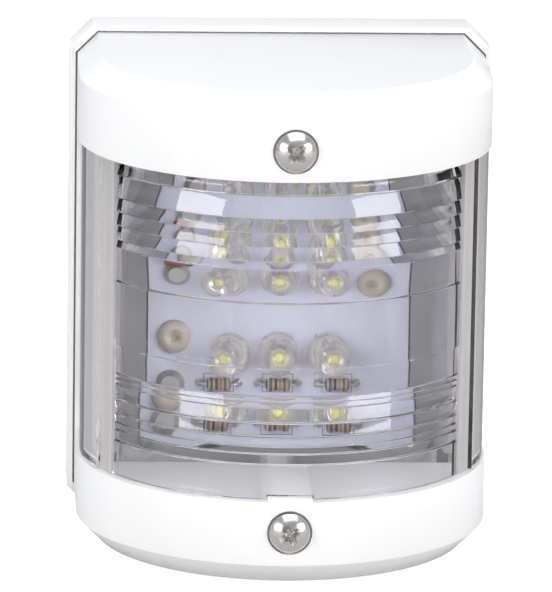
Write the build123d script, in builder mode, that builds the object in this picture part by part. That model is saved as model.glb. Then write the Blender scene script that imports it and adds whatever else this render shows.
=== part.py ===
"""Bulkhead-mounted LED stern light for small boats.

Frame: millimetres, +Z up, +X to the viewer's right. The wall is the plane Y = 0 and the lamp faces -Y.
The origin is the centre of the base plate's wall face. "Depth" is the distance from the wall, so a
point at depth d lies at Y = -d, and Plane.XZ.offset(d) is the plane at that depth, facing the viewer.
"""

import os
from math import cos, pi, radians, sin, sqrt

from build123d import *

# ---------------------------------------------------------------- driving dimensions
cover_width = 69.0
cover_height = 82.0
cover_wall = 2.0
cover_bevel = 3.5  # 45 degree bevel round the caps
overall_depth = 61.5  # wall to the front of the cover

base_overhang_side = 1.3  # how far the base plate shows beside the cover
base_overhang_end = 1.2  # and above and below it
base_depth = 7.0
base_rim_depth = 8.5  # the rim round the cover's back edge
base_floor = 2.5
base_corner_cut = 3.9

window_half_height = 26.8
window_back_depth = 12.0
window_corner_radius = 5.0
lens_recess = 1.4  # lens face below the cover's face
panel_recess = 0.5  # the same for the plain panels at the lens's two sides
lens_wall = 2.0
optic_height = 0.8  # the Fresnel profile is centred this far above the middle

screw_height = 31.9  # cover screws above and below the middle
screw_radius = 1.7
screw_length = 25.0
screw_head_radius = 3.35
screw_head_height = 2.3
seat_depth = 60.3

board_width = 45.5
board_height = 45.0
board_thickness = 1.6
board_face_depth = 14.0

mount_spacing_x = 49.0
mount_spacing_z = 62.0
mount_hole_radius = 2.2

fit_gap = 0.05  # between pieces that touch in use
body_gap = 0.3  # between pieces that part when the cover comes off

# ---------------------------------------------------------------- derived sizes
cover_half = cover_width / 2
bow_depth = overall_depth - cover_half  # depth of the semicircle's centre
cover_back = base_depth + 0.5
inner_bevel = cover_bevel - (2 - sqrt(2)) * cover_wall  # keeps the bevel's wall even
base_half_width = cover_half + base_overhang_side
base_half_height = cover_height / 2 + base_overhang_end

lens_half = cover_half - cover_wall - 0.1  # outside of the lens's rim, inside the cover
land_half = cover_half - lens_recess  # outside of the lens face, in the window
panel_half = cover_half - panel_recess
lens_inner = lens_half - lens_wall
lens_half_height = 28.0
land_clearance = 0.2

pocket_half_width = 28.9
pocket_half_height = 35.5

sill_back = 30.0  # the sills and sleeves reach from this depth to the lens
sill_thickness = 1.5
sleeve_radius = 5.6
sleeve_front = 56.5

post_radius = 3.8  # screw pillars and tubes
pillar_depth = 48.0
nose_radius = 2.65
nose_length = 2.3
washer_thickness = 0.7


def cut_rectangle(half_width, half_height, cut):
    """A rectangle whose four corners are cut off at 45 degrees."""
    with BuildSketch() as outline:
        Rectangle(2 * half_width, 2 * half_height)
        chamfer(outline.vertices(), length=cut)
    return outline.sketch


def bow_outline(half_width, back):
    """The cover's plan: straight sides from the depth back, and a semicircle round the front."""
    with BuildSketch() as outline:
        with BuildLine():
            Polyline(
                (-half_width, -bow_depth),
                (-half_width, -back),
                (half_width, -back),
                (half_width, -bow_depth),
            )
            ThreePointArc(
                (half_width, -bow_depth), (0, -bow_depth - half_width), (-half_width, -bow_depth)
            )
        make_face()
    return outline.sketch


def window_outline(clearance):
    """The window's side view, in Y and Z, with rounded rear corners and an open front."""
    half = window_half_height - clearance
    front = -overall_depth - 5
    with BuildSketch(Plane.YZ) as outline:
        with BuildLine():
            Polyline(
                (front, -half),
                (-window_back_depth - clearance, -half),
                (-window_back_depth - clearance, half),
                (front, half),
                close=True,
            )
        make_face()
        fillet(outline.vertices().group_by(Axis.X)[-1], radius=window_corner_radius - clearance)
    return outline.sketch


# ---------------------------------------------------------------- front cover
with BuildPart() as cover_hollow:
    with BuildSketch(Plane.XY.offset(-cover_height / 2 + cover_wall)):
        add(bow_outline(cover_half - cover_wall, cover_back - 2 * cover_wall))
    extrude(amount=cover_height - 2 * cover_wall)
    ends = cover_hollow.faces().filter_by(Axis.Z)
    chamfer(ends.edges().filter_by(lambda e: e.center().Y < -cover_back), length=inner_bevel)

with BuildPart() as front_cover:
    with BuildSketch(Plane.XY.offset(-cover_height / 2)):
        add(bow_outline(cover_half, cover_back))
    extrude(amount=cover_height)
    ends = front_cover.faces().filter_by(Axis.Z)
    chamfer(ends.edges().filter_by(lambda e: e.center().Y < -cover_back - 0.1), length=cover_bevel)
    add(cover_hollow.part, mode=Mode.SUBTRACT)
    extrude(window_outline(0), amount=cover_width, both=True, mode=Mode.SUBTRACT)
    # Sills that the lens stands between
    for low in (lens_half_height + fit_gap, -lens_half_height - fit_gap - sill_thickness):
        with BuildSketch(Plane.XY.offset(low)):
            add(bow_outline(cover_half - cover_wall / 2, cover_back))
            with Locations((0, -sill_back - cover_half / 2)):
                Rectangle(cover_width, cover_half, mode=Mode.INTERSECT)
        extrude(amount=sill_thickness)
    # Sleeves over the pillars, and screw tubes that the pillars' noses enter
    tube_back = pillar_depth + body_gap
    tube_spots = [(0, screw_height), (0, -screw_height)]
    with BuildSketch(Plane.XZ.offset(sill_back)):
        with Locations(*tube_spots):
            Circle(sleeve_radius)
    extrude(amount=sleeve_front - sill_back)
    with BuildSketch(Plane.XZ.offset(sill_back)):
        with Locations(*tube_spots):
            Circle(post_radius + body_gap)
    extrude(amount=tube_back - sill_back, mode=Mode.SUBTRACT)
    with BuildSketch(Plane.XZ.offset(tube_back)):
        with Locations(*tube_spots):
            Circle(post_radius)
    extrude(amount=seat_depth - tube_back)
    with BuildSketch(Plane.XZ.offset(seat_depth)):
        with Locations(*tube_spots):
            Circle(screw_head_radius + 0.35)
    extrude(amount=overall_depth, mode=Mode.SUBTRACT)
    with BuildSketch(Plane.XZ.offset(tube_back)):
        with Locations(*tube_spots):
            Circle(screw_radius + 0.25)
    extrude(amount=overall_depth, mode=Mode.SUBTRACT)
    with BuildSketch(Plane.XZ.offset(tube_back)):
        with Locations(*tube_spots):
            Circle(nose_radius + body_gap)
    extrude(amount=nose_length, mode=Mode.SUBTRACT)
    # The key on the lower sill, which stops the lens from turning
    key_width = 7.3
    key_height = 0.7
    with BuildSketch(Plane.XY.offset(-window_half_height)):
        add(bow_outline(cover_half, cover_back))
        add(bow_outline(cover_half - cover_wall, cover_back), mode=Mode.SUBTRACT)
        with Locations((0, -overall_depth)):
            Rectangle(key_width, cover_half, mode=Mode.INTERSECT)
    extrude(amount=key_height)

# ---------------------------------------------------------------- lens
# Fresnel grooves: where each starts and ends, measured from the optical centre, and its depth at each end
groove_levels = [
    (5.5, 11.1, 0.0, 0.4),
    (11.1, 12.3, 0.4, 1.1),
    (12.3, 14.8, 0.2, 0.8),
    (14.8, 17.1, 0.2, 0.85),
    (17.1, 19.5, 0.2, 0.9),
    (19.5, 21.8, 0.2, 0.95),
]
groove_half_angle = 58.0
strip_angles = (60.2, 67.0)  # the cut-off strips, from straight ahead
strip_seat_depth = 0.7
strip_proud = 0.3


def bow_point(radius, angle):
    """The plan point on a circle about the bow's centre, angle degrees from straight ahead."""
    return (radius * sin(radians(angle)), -bow_depth - radius * cos(radians(angle)))


def strip_section(inner, outer, side, clearance=0.0):
    """A cut-off strip's plan on one side of the lens."""
    spread = clearance / outer * 180 / pi
    first, last = side * (strip_angles[0] - spread), side * (strip_angles[1] + spread)
    middle = (first + last) / 2
    with BuildSketch() as section:
        with BuildLine():
            Line(bow_point(inner, first), bow_point(outer, first))
            ThreePointArc(bow_point(outer, first), bow_point(outer, middle), bow_point(outer, last))
            Line(bow_point(outer, last), bow_point(inner, last))
            ThreePointArc(bow_point(inner, last), bow_point(inner, middle), bow_point(inner, first))
        make_face()
    return section.sketch


def side_panels():
    """The plan of the lens's side panels, from the cut-off strips back to the cover's back edge."""
    panel_front = bow_point(land_half, strip_angles[1])[1]
    with BuildSketch() as section:
        add(bow_outline(panel_half, cover_back))
        with Locations((0, panel_front + cover_half)):
            Rectangle(cover_width, cover_width, mode=Mode.INTERSECT)
    return section.sketch


with BuildPart() as lens:
    # The face that fills the window
    with BuildSketch(Plane.XY.offset(-lens_half_height)):
        add(bow_outline(land_half, cover_back))
        add(side_panels())
    extrude(amount=2 * lens_half_height)
    extrude(window_outline(land_clearance), amount=cover_width, both=True, mode=Mode.INTERSECT)
    # The rim behind the cover's wall
    with BuildSketch(Plane.XY.offset(-lens_half_height)):
        add(bow_outline(lens_half, cover_back))
    extrude(amount=2 * lens_half_height)
    with BuildSketch(Plane.XY.offset(-lens_half_height)):
        add(bow_outline(lens_inner, 0))
    extrude(amount=2 * lens_half_height, mode=Mode.SUBTRACT)
    # Horizontal Fresnel grooves across the front
    groove_end = radians(groove_half_angle)
    groove_start = Plane(
        origin=(0, -bow_depth, 0),
        x_dir=(sin(groove_end), -cos(groove_end), 0),
        z_dir=(-cos(groove_end), -sin(groove_end), 0),
    )
    bow_axis = Axis((0, -bow_depth, 0), (0, 0, 1))
    for low, high, low_depth, high_depth in groove_levels:
        for way in (1, -1):
            z_low = optic_height + way * low
            z_high = optic_height + way * high
            with BuildSketch(groove_start):
                with BuildLine():
                    Polyline(
                        (land_half + 1, z_low),
                        (land_half - low_depth, z_low),
                        (land_half - high_depth, z_high),
                        (land_half + 1, z_high),
                        close=True,
                    )
                make_face()
            revolve(axis=bow_axis, revolution_arc=-2 * groove_half_angle, mode=Mode.SUBTRACT)
    # Seats for the cut-off strips, and the notch over the cover's key
    for side in (-1, 1):
        with BuildSketch(Plane.XY.offset(-window_half_height)):
            add(strip_section(land_half - strip_seat_depth, land_half + 1, side, fit_gap))
        extrude(amount=2 * window_half_height, mode=Mode.SUBTRACT)
    with BuildSketch(Plane.XY.offset(-lens_half_height)):
        with Locations((0, -overall_depth)):
            Rectangle(key_width + 2 * body_gap, cover_half)
        add(bow_outline(lens_half, 0), mode=Mode.SUBTRACT)
    extrude(amount=lens_half_height - window_half_height + key_height + body_gap, mode=Mode.SUBTRACT)


def cutoff_strip(side):
    """The frosted strip at one edge of the lit sector."""
    with BuildPart() as strip:
        with BuildSketch(Plane.XY.offset(-window_half_height + body_gap)):
            add(strip_section(land_half - strip_seat_depth + fit_gap, land_half + strip_proud, side))
        extrude(amount=2 * (window_half_height - body_gap))
    return strip


left_cutoff_strip = cutoff_strip(-1)
right_cutoff_strip = cutoff_strip(1)

# ---------------------------------------------------------------- circuit board layout
led_columns = (-8.2, 0.0, 8.2)
led_rows = (0.3, -12.8)
# How far each LED leans sideways, in degrees, upper row first: they were soldered by hand
led_leans = ((-31.0, 0.0, 10.0), (-16.0, 0.0, 13.0))
led_flange_radius = 3.5
led_flange_height = 1.5
led_dome_radius = 2.6
led_dome_base = 5.8
led_well_radius = 1.2
led_pin_radius = 0.28
led_pin_pitch = 2.54
pin_tail = 1.2  # how far pins stand out behind the board

resistor_columns = (-10.2, 0.0, 10.2)
resistor_row = -18.1
resistor_length = 4.1
resistor_radius = 1.25
resistor_pitch = 6.6

rivet_spots = ((-18.1, -10.2), (16.4, -1.1))
rest_spots = ((-20.3, 18.5), (17.5, 18.5), (17.5, -18.0))
rivet_radius = 1.5
board_post_radius = 2.4

red_pad = (-17.7, 0.6)
red_hole = (-15.7, 3.5)
black_pad = (-18.6, -18.3)
lead_radius = 0.8

board_back_depth = board_face_depth - board_thickness


def board_plane(x, z):
    """A plane on the board's face at x, z, facing the viewer."""
    return Plane(origin=(x, -board_face_depth, z), x_dir=(1, 0, 0), z_dir=(0, -1, 0))


def led_plane(x, z, lean):
    """The plane under an LED's flange, raised so that the flange's low edge rests on the board."""
    raised = led_flange_radius * sin(radians(abs(lean))) + 0.02
    return Plane(
        origin=(x, -board_face_depth - raised, z),
        x_dir=(cos(radians(lean)), sin(radians(lean)), 0),
        z_dir=(sin(radians(lean)), -cos(radians(lean)), 0),
    )


led_planes = [
    led_plane(x, z, lean)
    for z, leans in zip(led_rows, led_leans)
    for x, lean in zip(led_columns, leans)
]
led_pins = [(x, z + way * led_pin_pitch / 2) for z in led_rows for x in led_columns for way in (-1, 1)]
resistor_pins = [(x + way * resistor_pitch / 2, resistor_row) for x in resistor_columns for way in (-1, 1)]

# ---------------------------------------------------------------- base plate
screen_inner = 27.2
screen_thickness = 1.5
screen_foot = 0.8  # how far the screens stand in the base plate's floor
screen_depth = 32.0
screen_half_height = 26.0
mask_gap = 0.3  # a frame round the board joins the two screens
mask_thickness = 1.5
screen_spots = [(way * (screen_inner + screen_thickness / 2), 0) for way in (-1, 1)]

with BuildPart() as base_plate:
    with BuildSketch(Plane.XZ):
        add(cut_rectangle(base_half_width, base_half_height, base_corner_cut))
    extrude(amount=base_rim_depth)
    rim_half = (cover_half + body_gap, cover_height / 2 + body_gap)
    rim_corner_cut = cover_bevel + (2 - sqrt(2)) * body_gap
    with BuildSketch(Plane.XZ.offset(base_depth)):
        add(cut_rectangle(*rim_half, rim_corner_cut))
    extrude(amount=base_depth, mode=Mode.SUBTRACT)
    with BuildSketch(Plane.XZ.offset(base_floor)):
        Rectangle(2 * pocket_half_width, 2 * pocket_half_height)
    extrude(amount=base_depth, mode=Mode.SUBTRACT)
    # Groove for the cover gasket
    gasket_groove = 1.1
    gasket_outer = (cover_half - 0.3, cover_height / 2 - 0.3)
    gasket_inner = (pocket_half_width + 1.0, pocket_half_height + 1.0)
    gasket_cut = cover_bevel - 0.2
    with BuildSketch(Plane.XZ.offset(base_depth - gasket_groove)):
        add(cut_rectangle(gasket_outer[0] + fit_gap, gasket_outer[1] + fit_gap, gasket_cut))
        Rectangle(2 * (gasket_inner[0] - fit_gap), 2 * (gasket_inner[1] - fit_gap), mode=Mode.SUBTRACT)
    extrude(amount=gasket_groove, mode=Mode.SUBTRACT)
    # Groove for the wall gasket
    wall_gasket_depth = 1.0
    wall_gasket_outer = (61.0, 75.0)
    wall_gasket_inner = (54.8, 68.8)
    with BuildSketch(Plane.XZ):
        Rectangle(*wall_gasket_outer)
        Rectangle(*wall_gasket_inner, mode=Mode.SUBTRACT)
    extrude(amount=wall_gasket_depth, mode=Mode.SUBTRACT)
    # Slots for the sector screens
    slot_size = (screen_thickness + 2 * fit_gap, 2 * (screen_half_height + fit_gap))
    with BuildSketch(Plane.XZ.offset(base_floor - screen_foot)):
        with Locations(*screen_spots):
            Rectangle(*slot_size)
    extrude(amount=screen_foot, mode=Mode.SUBTRACT)
    # Pillars for the cover screws, each with a nose for its tube
    with BuildSketch(Plane.XZ.offset(base_floor)):
        with Locations(*tube_spots):
            Circle(post_radius)
    extrude(amount=pillar_depth - base_floor)
    with BuildSketch(Plane.XZ.offset(pillar_depth)):
        with Locations(*tube_spots):
            Circle(nose_radius)
    extrude(amount=nose_length - body_gap)
    # Webs that stiffen the pillars
    web_depth = 26.0
    web_size = (14.0, 1.4)
    with BuildSketch(Plane.XZ.offset(base_floor)):
        with Locations(*[(0, way * (screw_height + post_radius - 0.5)) for way in (-1, 1)]):
            Rectangle(*web_size)
    extrude(amount=web_depth - base_floor)
    # Posts under the board, and pads round the wall screws
    mount_pad_radius = 4.0
    mount_pad_height = 1.0
    with BuildSketch(Plane.XZ.offset(base_floor)):
        with Locations(*(rivet_spots + rest_spots)):
            Circle(board_post_radius)
    extrude(amount=board_back_depth - base_floor)
    with BuildSketch(Plane.XZ.offset(base_floor)):
        with GridLocations(mount_spacing_x, mount_spacing_z, 2, 2):
            Circle(mount_pad_radius)
    extrude(amount=mount_pad_height)
    # Holes: wall screws, rivets, cable, cover screws
    with BuildSketch(Plane.XZ):
        with GridLocations(mount_spacing_x, mount_spacing_z, 2, 2):
            Circle(mount_hole_radius)
    extrude(amount=base_depth, mode=Mode.SUBTRACT)
    rivet_hole_depth = 6.0
    with BuildSketch(Plane.XZ.offset(board_back_depth - rivet_hole_depth)):
        with Locations(*rivet_spots):
            Circle(rivet_radius + fit_gap)
    extrude(amount=rivet_hole_depth, mode=Mode.SUBTRACT)
    cable_spot = (13.5, 29.0)
    cable_hole_radius = 4.5
    with BuildSketch(Plane.XZ):
        with Locations(cable_spot):
            Circle(cable_hole_radius)
    extrude(amount=base_floor, mode=Mode.SUBTRACT)
    screw_hole_end = seat_depth + washer_thickness - screw_length - 2.0
    with BuildSketch(Plane.XZ.offset(screw_hole_end)):
        with Locations(*tube_spots):
            Circle(screw_radius + fit_gap)
    extrude(amount=overall_depth, mode=Mode.SUBTRACT)

# The dark screens stop light from spilling aft of the cut-off, and the frame between them masks the base
with BuildPart() as sector_screens:
    with BuildSketch(Plane.XZ.offset(base_floor - screen_foot)):
        with Locations(*screen_spots):
            Rectangle(screen_thickness, 2 * screen_half_height)
    extrude(amount=screen_depth - base_floor + screen_foot)
    with BuildSketch(Plane.XZ.offset(board_face_depth - mask_thickness)):
        Rectangle(2 * screen_inner + screen_thickness, 2 * screen_half_height)
        Rectangle(board_width + 2 * mask_gap, board_height + 2 * mask_gap, mode=Mode.SUBTRACT)
    extrude(amount=mask_thickness)

with BuildPart() as cover_gasket:
    with BuildSketch(Plane.XZ.offset(base_depth - gasket_groove)):
        add(cut_rectangle(*gasket_outer, gasket_cut))
        Rectangle(2 * gasket_inner[0], 2 * gasket_inner[1], mode=Mode.SUBTRACT)
    extrude(amount=cover_back - base_depth + gasket_groove - fit_gap)

with BuildPart() as wall_gasket:
    with BuildSketch(Plane.XZ):
        Rectangle(*[size - 2 * fit_gap for size in wall_gasket_outer])
        Rectangle(*[size + 2 * fit_gap for size in wall_gasket_inner], mode=Mode.SUBTRACT)
    extrude(amount=wall_gasket_depth)

with BuildPart() as cable_grommet:
    grommet_bore = 3.1
    grommet_flange_radius = 6.2
    grommet_flange = 1.5
    with BuildSketch(Plane.XZ):
        with Locations(cable_spot):
            Circle(cable_hole_radius - fit_gap)
    extrude(amount=base_floor)
    with BuildSketch(Plane.XZ.offset(base_floor)):
        with Locations(cable_spot):
            Circle(grommet_flange_radius)
    extrude(amount=grommet_flange)
    chamfer(cable_grommet.edges().sort_by(Axis.Y)[0], length=0.5)
    with BuildSketch(Plane.XZ):
        with Locations(cable_spot):
            Circle(grommet_bore)
    extrude(amount=base_depth, mode=Mode.SUBTRACT)

# ---------------------------------------------------------------- circuit board and its parts
with BuildPart() as circuit_board:
    board_corner = 1.5
    red_hole_radius = 1.4
    black_hole_radius = 0.6
    with BuildSketch(Plane.XZ.offset(board_back_depth)):
        RectangleRounded(board_width, board_height, board_corner)
        with Locations(*led_pins, *resistor_pins):
            Circle(led_pin_radius + 0.12, mode=Mode.SUBTRACT)
        with Locations(*rivet_spots):
            Circle(rivet_radius + fit_gap, mode=Mode.SUBTRACT)
        with Locations(red_hole):
            Circle(red_hole_radius, mode=Mode.SUBTRACT)
        with Locations(black_pad):
            Circle(black_hole_radius, mode=Mode.SUBTRACT)
    extrude(amount=board_thickness)

with BuildPart() as led_pattern:
    with BuildSketch(Plane.XZ):
        with BuildLine():
            shoulder = led_flange_radius - 0.5
            top = led_dome_base + led_dome_radius
            Polyline(
                (led_well_radius, 0),
                (led_flange_radius, 0),
                (led_flange_radius, led_flange_height),
                (shoulder, led_flange_height + 0.3),
                (led_dome_radius, led_dome_base),
            )
            RadiusArc((led_dome_radius, led_dome_base), (0, top), -led_dome_radius)
            Polyline((0, top), (0, led_dome_base), (led_well_radius, led_dome_base), (led_well_radius, 0))
        make_face()
    revolve(axis=Axis.Z)

with BuildPart() as led_lenses:
    with Locations(*[plane.location for plane in led_planes]):
        add(led_pattern.part)

with BuildPart() as led_chips:
    chip_thickness = 0.4
    for plane in led_planes:
        with BuildSketch(plane.offset(led_dome_base - chip_thickness)):
            Circle(led_well_radius - fit_gap)
        extrude(amount=chip_thickness - 0.02)

with BuildPart() as led_lead_frames:
    pin_reach = 3.2
    for plane in led_planes:
        with BuildSketch(plane.offset(2.4)):
            Circle(led_well_radius - fit_gap)
        extrude(amount=led_dome_base - chip_thickness - 2.4)
    with BuildSketch(Plane.XZ.offset(board_back_depth - pin_tail)):
        with Locations(*led_pins):
            Circle(led_pin_radius)
    extrude(amount=pin_tail + board_thickness + pin_reach)
    add(led_lenses.part, mode=Mode.SUBTRACT)

with BuildPart() as resistor_pattern:
    end = resistor_length / 2
    with BuildSketch():
        with BuildLine() as half_outline:
            Polyline(
                (0, resistor_radius - 0.15),
                (end - 1.2, resistor_radius - 0.15),
                (end - 1.0, resistor_radius),
                (end - 0.3, resistor_radius),
                (end, resistor_radius - 0.3),
                (end, 0),
            )
            mirror(about=Plane.YZ)
            Line((end, 0), (-end, 0))
        make_face()
    revolve(axis=Axis.X)

with BuildPart() as resistor_bodies:
    lift = resistor_radius + 0.1
    with Locations(*[(x, -board_face_depth - lift, resistor_row) for x in resistor_columns]):
        add(resistor_pattern.part)

with BuildPart() as resistor_leads:
    for x in resistor_columns:
        for way in (-1, 1):
            start = (x + way * (resistor_length / 2 + 0.01), -board_face_depth - lift, resistor_row)
            bend = (x + way * resistor_pitch / 2, -board_face_depth - lift, resistor_row)
            tail = (x + way * resistor_pitch / 2, -board_back_depth + pin_tail, resistor_row)
            with BuildLine() as wire:
                FilletPolyline(start, bend, tail, radius=0.8)
            with BuildSketch(Plane(origin=start, z_dir=(way, 0, 0))):
                Circle(led_pin_radius)
            sweep(path=wire.wires()[0])

with BuildPart() as rivet_pattern:
    rivet_reach = board_thickness + rivet_hole_depth - 0.4
    rivet_head = 2.9
    with BuildSketch(Plane.XZ):
        with BuildLine():
            Polyline((0.7, 1.0), (0.7, 0.5), (0, 0.3), (0, -rivet_reach), (rivet_radius, -rivet_reach))
            Line((rivet_radius, -rivet_reach), (rivet_radius, 0.02))
            Polyline((rivet_radius, 0.02), (rivet_head, 0.02), (rivet_head, 0.6))
            RadiusArc((rivet_head, 0.6), (1.5, 1.4), -1.9)
            Line((1.5, 1.4), (0.7, 1.0))
        make_face()
    revolve(axis=Axis.Z)

with BuildPart() as board_rivets:
    with Locations(*[board_plane(*spot).location for spot in rivet_spots]):
        add(rivet_pattern.part)

with BuildPart() as solder_joints:
    solder_foot = 0.35
    solder_rise = 1.1
    solder_taper = 38
    for spot, radius in ((red_pad, 2.4), (black_pad, 2.5)):
        with BuildSketch(board_plane(*spot)):
            Circle(radius)
        extrude(amount=solder_foot)
        with BuildSketch(board_plane(*spot).offset(solder_foot)):
            Circle(radius)
        extrude(amount=solder_rise, taper=solder_taper)
    with BuildSketch(Plane.XZ.offset(board_back_depth)):
        with Locations(black_pad):
            Circle(black_hole_radius - fit_gap)
    extrude(amount=board_thickness)

# ---------------------------------------------------------------- terminal block and leads
block_centre = (-13.5, 30.0)
block_size = (13.0, 9.0)
block_height = 9.5
pole_columns = (block_centre[0] - 3.0, block_centre[0] + 3.0)
pole_depth = base_floor + 3.2
clamp_heights = (block_centre[1] - 2.1, block_centre[1] + 2.1)
insert_half = 2.0
insert_bore = 1.2
clamp_radius = 0.9
clamp_well_radius = 1.5
clamp_slot = 0.5

with BuildPart() as terminal_block:
    with BuildSketch(Plane.XZ.offset(base_floor)):
        with Locations(block_centre):
            Rectangle(*block_size)
    extrude(amount=block_height)
    chamfer(terminal_block.faces().sort_by(Axis.Y)[0].edges(), length=0.6)
    with BuildSketch(Plane.XY.offset(block_centre[1] - block_size[1] / 2)):
        with Locations(*[(x, -pole_depth) for x in pole_columns]):
            Rectangle(2 * (insert_half + fit_gap), 2 * (insert_half + fit_gap))
    extrude(amount=block_size[1], mode=Mode.SUBTRACT)
    with BuildSketch(Plane.XZ.offset(pole_depth)):
        with Locations(*[(x, z) for x in pole_columns for z in clamp_heights]):
            Circle(clamp_well_radius)
    extrude(amount=block_height, mode=Mode.SUBTRACT)

with BuildPart() as terminal_inserts:
    with BuildSketch(Plane.XY.offset(block_centre[1] - 4.0)):
        with Locations(*[(x, -pole_depth) for x in pole_columns]):
            RectangleRounded(2 * insert_half, 2 * insert_half, 0.4)
            Circle(insert_bore, mode=Mode.SUBTRACT)
    extrude(amount=8.0)
    with BuildSketch(Plane.XZ.offset(pole_depth)):
        with Locations(*[(x, z) for x in pole_columns for z in clamp_heights]):
            Circle(clamp_radius + fit_gap)
    extrude(amount=insert_half + 1, mode=Mode.SUBTRACT)

with BuildPart() as terminal_screws:
    clamp_tip = pole_depth + insert_bore + 0.1
    clamp_head = pole_depth + insert_half + 0.9
    clamp_head_height = 1.4
    clamp_spots = [(x, z) for x in pole_columns for z in clamp_heights]
    with BuildSketch(Plane.XZ.offset(clamp_tip)):
        with Locations(*clamp_spots):
            Circle(clamp_radius)
    extrude(amount=clamp_head - clamp_tip)
    with BuildSketch(Plane.XZ.offset(clamp_head)):
        with Locations(*clamp_spots):
            Circle(clamp_well_radius - 0.15)
    extrude(amount=clamp_head_height)
    with BuildSketch(Plane.XZ.offset(clamp_head + clamp_head_height / 2)):
        with Locations(*clamp_spots):
            Rectangle(2 * clamp_well_radius, clamp_slot)
    extrude(amount=clamp_head_height, mode=Mode.SUBTRACT)


def insulated_lead(points, radii):
    """One insulated lead along straight runs joined by arcs."""
    with BuildPart() as wire:
        with BuildLine() as route:
            FilletPolyline(*points, radius=radii)
        with BuildSketch(Plane(origin=points[0], z_dir=Vector(*points[1]) - Vector(*points[0]))):
            Circle(lead_radius)
        sweep(path=route.wires()[0])
    return wire


lead_depth = board_face_depth + lead_radius + 0.3
lead_top = clamp_heights[0]
red_lead = insulated_lead(
    [
        (red_pad[0] - 2.2, -lead_depth, red_hole[1]),
        (red_hole[0] + 0.1, -lead_depth, red_hole[1]),
        (red_hole[0] + 0.1, -pole_depth, red_hole[1]),
        (pole_columns[0], -pole_depth, 15.0),
        (pole_columns[0], -pole_depth, lead_top),
    ],
    [2.3, 3.0, 12.0],
)
black_lead = insulated_lead(
    [
        (black_pad[0], -board_back_depth + 0.1, black_pad[1]),
        (black_pad[0], -pole_depth, black_pad[1]),
        (pole_columns[1], -pole_depth, -8.0),
        (pole_columns[1], -pole_depth, lead_top),
    ],
    [2.9, 12.0],
)

# ---------------------------------------------------------------- cover screws and their washers
head_depth = seat_depth + washer_thickness

with BuildPart() as screw_pattern:
    head_edge = 0.9
    head_rise = screw_head_height - head_edge
    dome_radius = (screw_head_radius**2 + head_rise**2) / (2 * head_rise)
    with BuildSketch(Plane.XZ):
        with BuildLine():
            Polyline(
                (0, screw_head_height),
                (0, -screw_length),
                (screw_radius, -screw_length + 3.0),
                (screw_radius, 0),
                (screw_head_radius, 0),
                (screw_head_radius, head_edge),
            )
            RadiusArc((screw_head_radius, head_edge), (0, screw_head_height), -dome_radius)
        make_face()
    revolve(axis=Axis.Z)
    # Cross recess
    recess_depth = 1.6
    with BuildSketch(Plane.XY.offset(screw_head_height)):
        Rectangle(3.8, 0.9)
        Rectangle(0.9, 3.8)
    extrude(amount=-recess_depth, mode=Mode.SUBTRACT)


def screw_plane(height, turn):
    """The plane under a cover screw's head, with its cross recess turned by so many degrees."""
    return Plane(
        origin=(0, -head_depth, height),
        x_dir=(cos(radians(turn)), 0, sin(radians(turn))),
        z_dir=(0, -1, 0),
    )


with BuildPart() as top_cover_screw:
    with Locations(screw_plane(screw_height, 45).location):
        add(screw_pattern.part)

with BuildPart() as bottom_cover_screw:
    with Locations(screw_plane(-screw_height, 30).location):
        add(screw_pattern.part)


def seal_washer(height):
    """The sealing washer under a cover screw's head."""
    with BuildPart() as washer:
        with BuildSketch(Plane.XZ.offset(seat_depth + 0.02)):
            with Locations((0, height)):
                Circle(screw_head_radius - 0.15)
                Circle(screw_radius + fit_gap, mode=Mode.SUBTRACT)
        extrude(amount=washer_thickness - 0.04)
    return washer


top_seal_washer = seal_washer(screw_height)
bottom_seal_washer = seal_washer(-screw_height)

# ---------------------------------------------------------------- export
os.makedirs("parts", exist_ok=True)
pieces = {
    "base_plate": base_plate,
    "sector_screens": sector_screens,
    "wall_gasket": wall_gasket,
    "cover_gasket": cover_gasket,
    "cable_grommet": cable_grommet,
    "circuit_board": circuit_board,
    "led_lenses": led_lenses,
    "led_chips": led_chips,
    "led_lead_frames": led_lead_frames,
    "resistor_bodies": resistor_bodies,
    "resistor_leads": resistor_leads,
    "board_rivets": board_rivets,
    "solder_joints": solder_joints,
    "terminal_block": terminal_block,
    "terminal_inserts": terminal_inserts,
    "terminal_screws": terminal_screws,
    "red_lead": red_lead,
    "black_lead": black_lead,
    "front_cover": front_cover,
    "lens": lens,
    "left_cutoff_strip": left_cutoff_strip,
    "right_cutoff_strip": right_cutoff_strip,
    "top_cover_screw": top_cover_screw,
    "bottom_cover_screw": bottom_cover_screw,
    "top_seal_washer": top_seal_washer,
    "bottom_seal_washer": bottom_seal_washer,
}
for label, piece in pieces.items():
    piece.part.label = label
    export_step(piece.part, f"parts/{label}.step")
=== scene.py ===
"""Studio look of the LED stern light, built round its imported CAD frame.

Everything is in the row frame: +Z up, the wall at Y = 0, the lamp facing -Y. Sizes are in millimetres
and are turned into Blender's metres where a mesh is made.
"""

from math import asin, cos, degrees, pi, radians, sin, sqrt, tan

import bmesh
import bpy
from mathutils import Matrix, Vector


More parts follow.
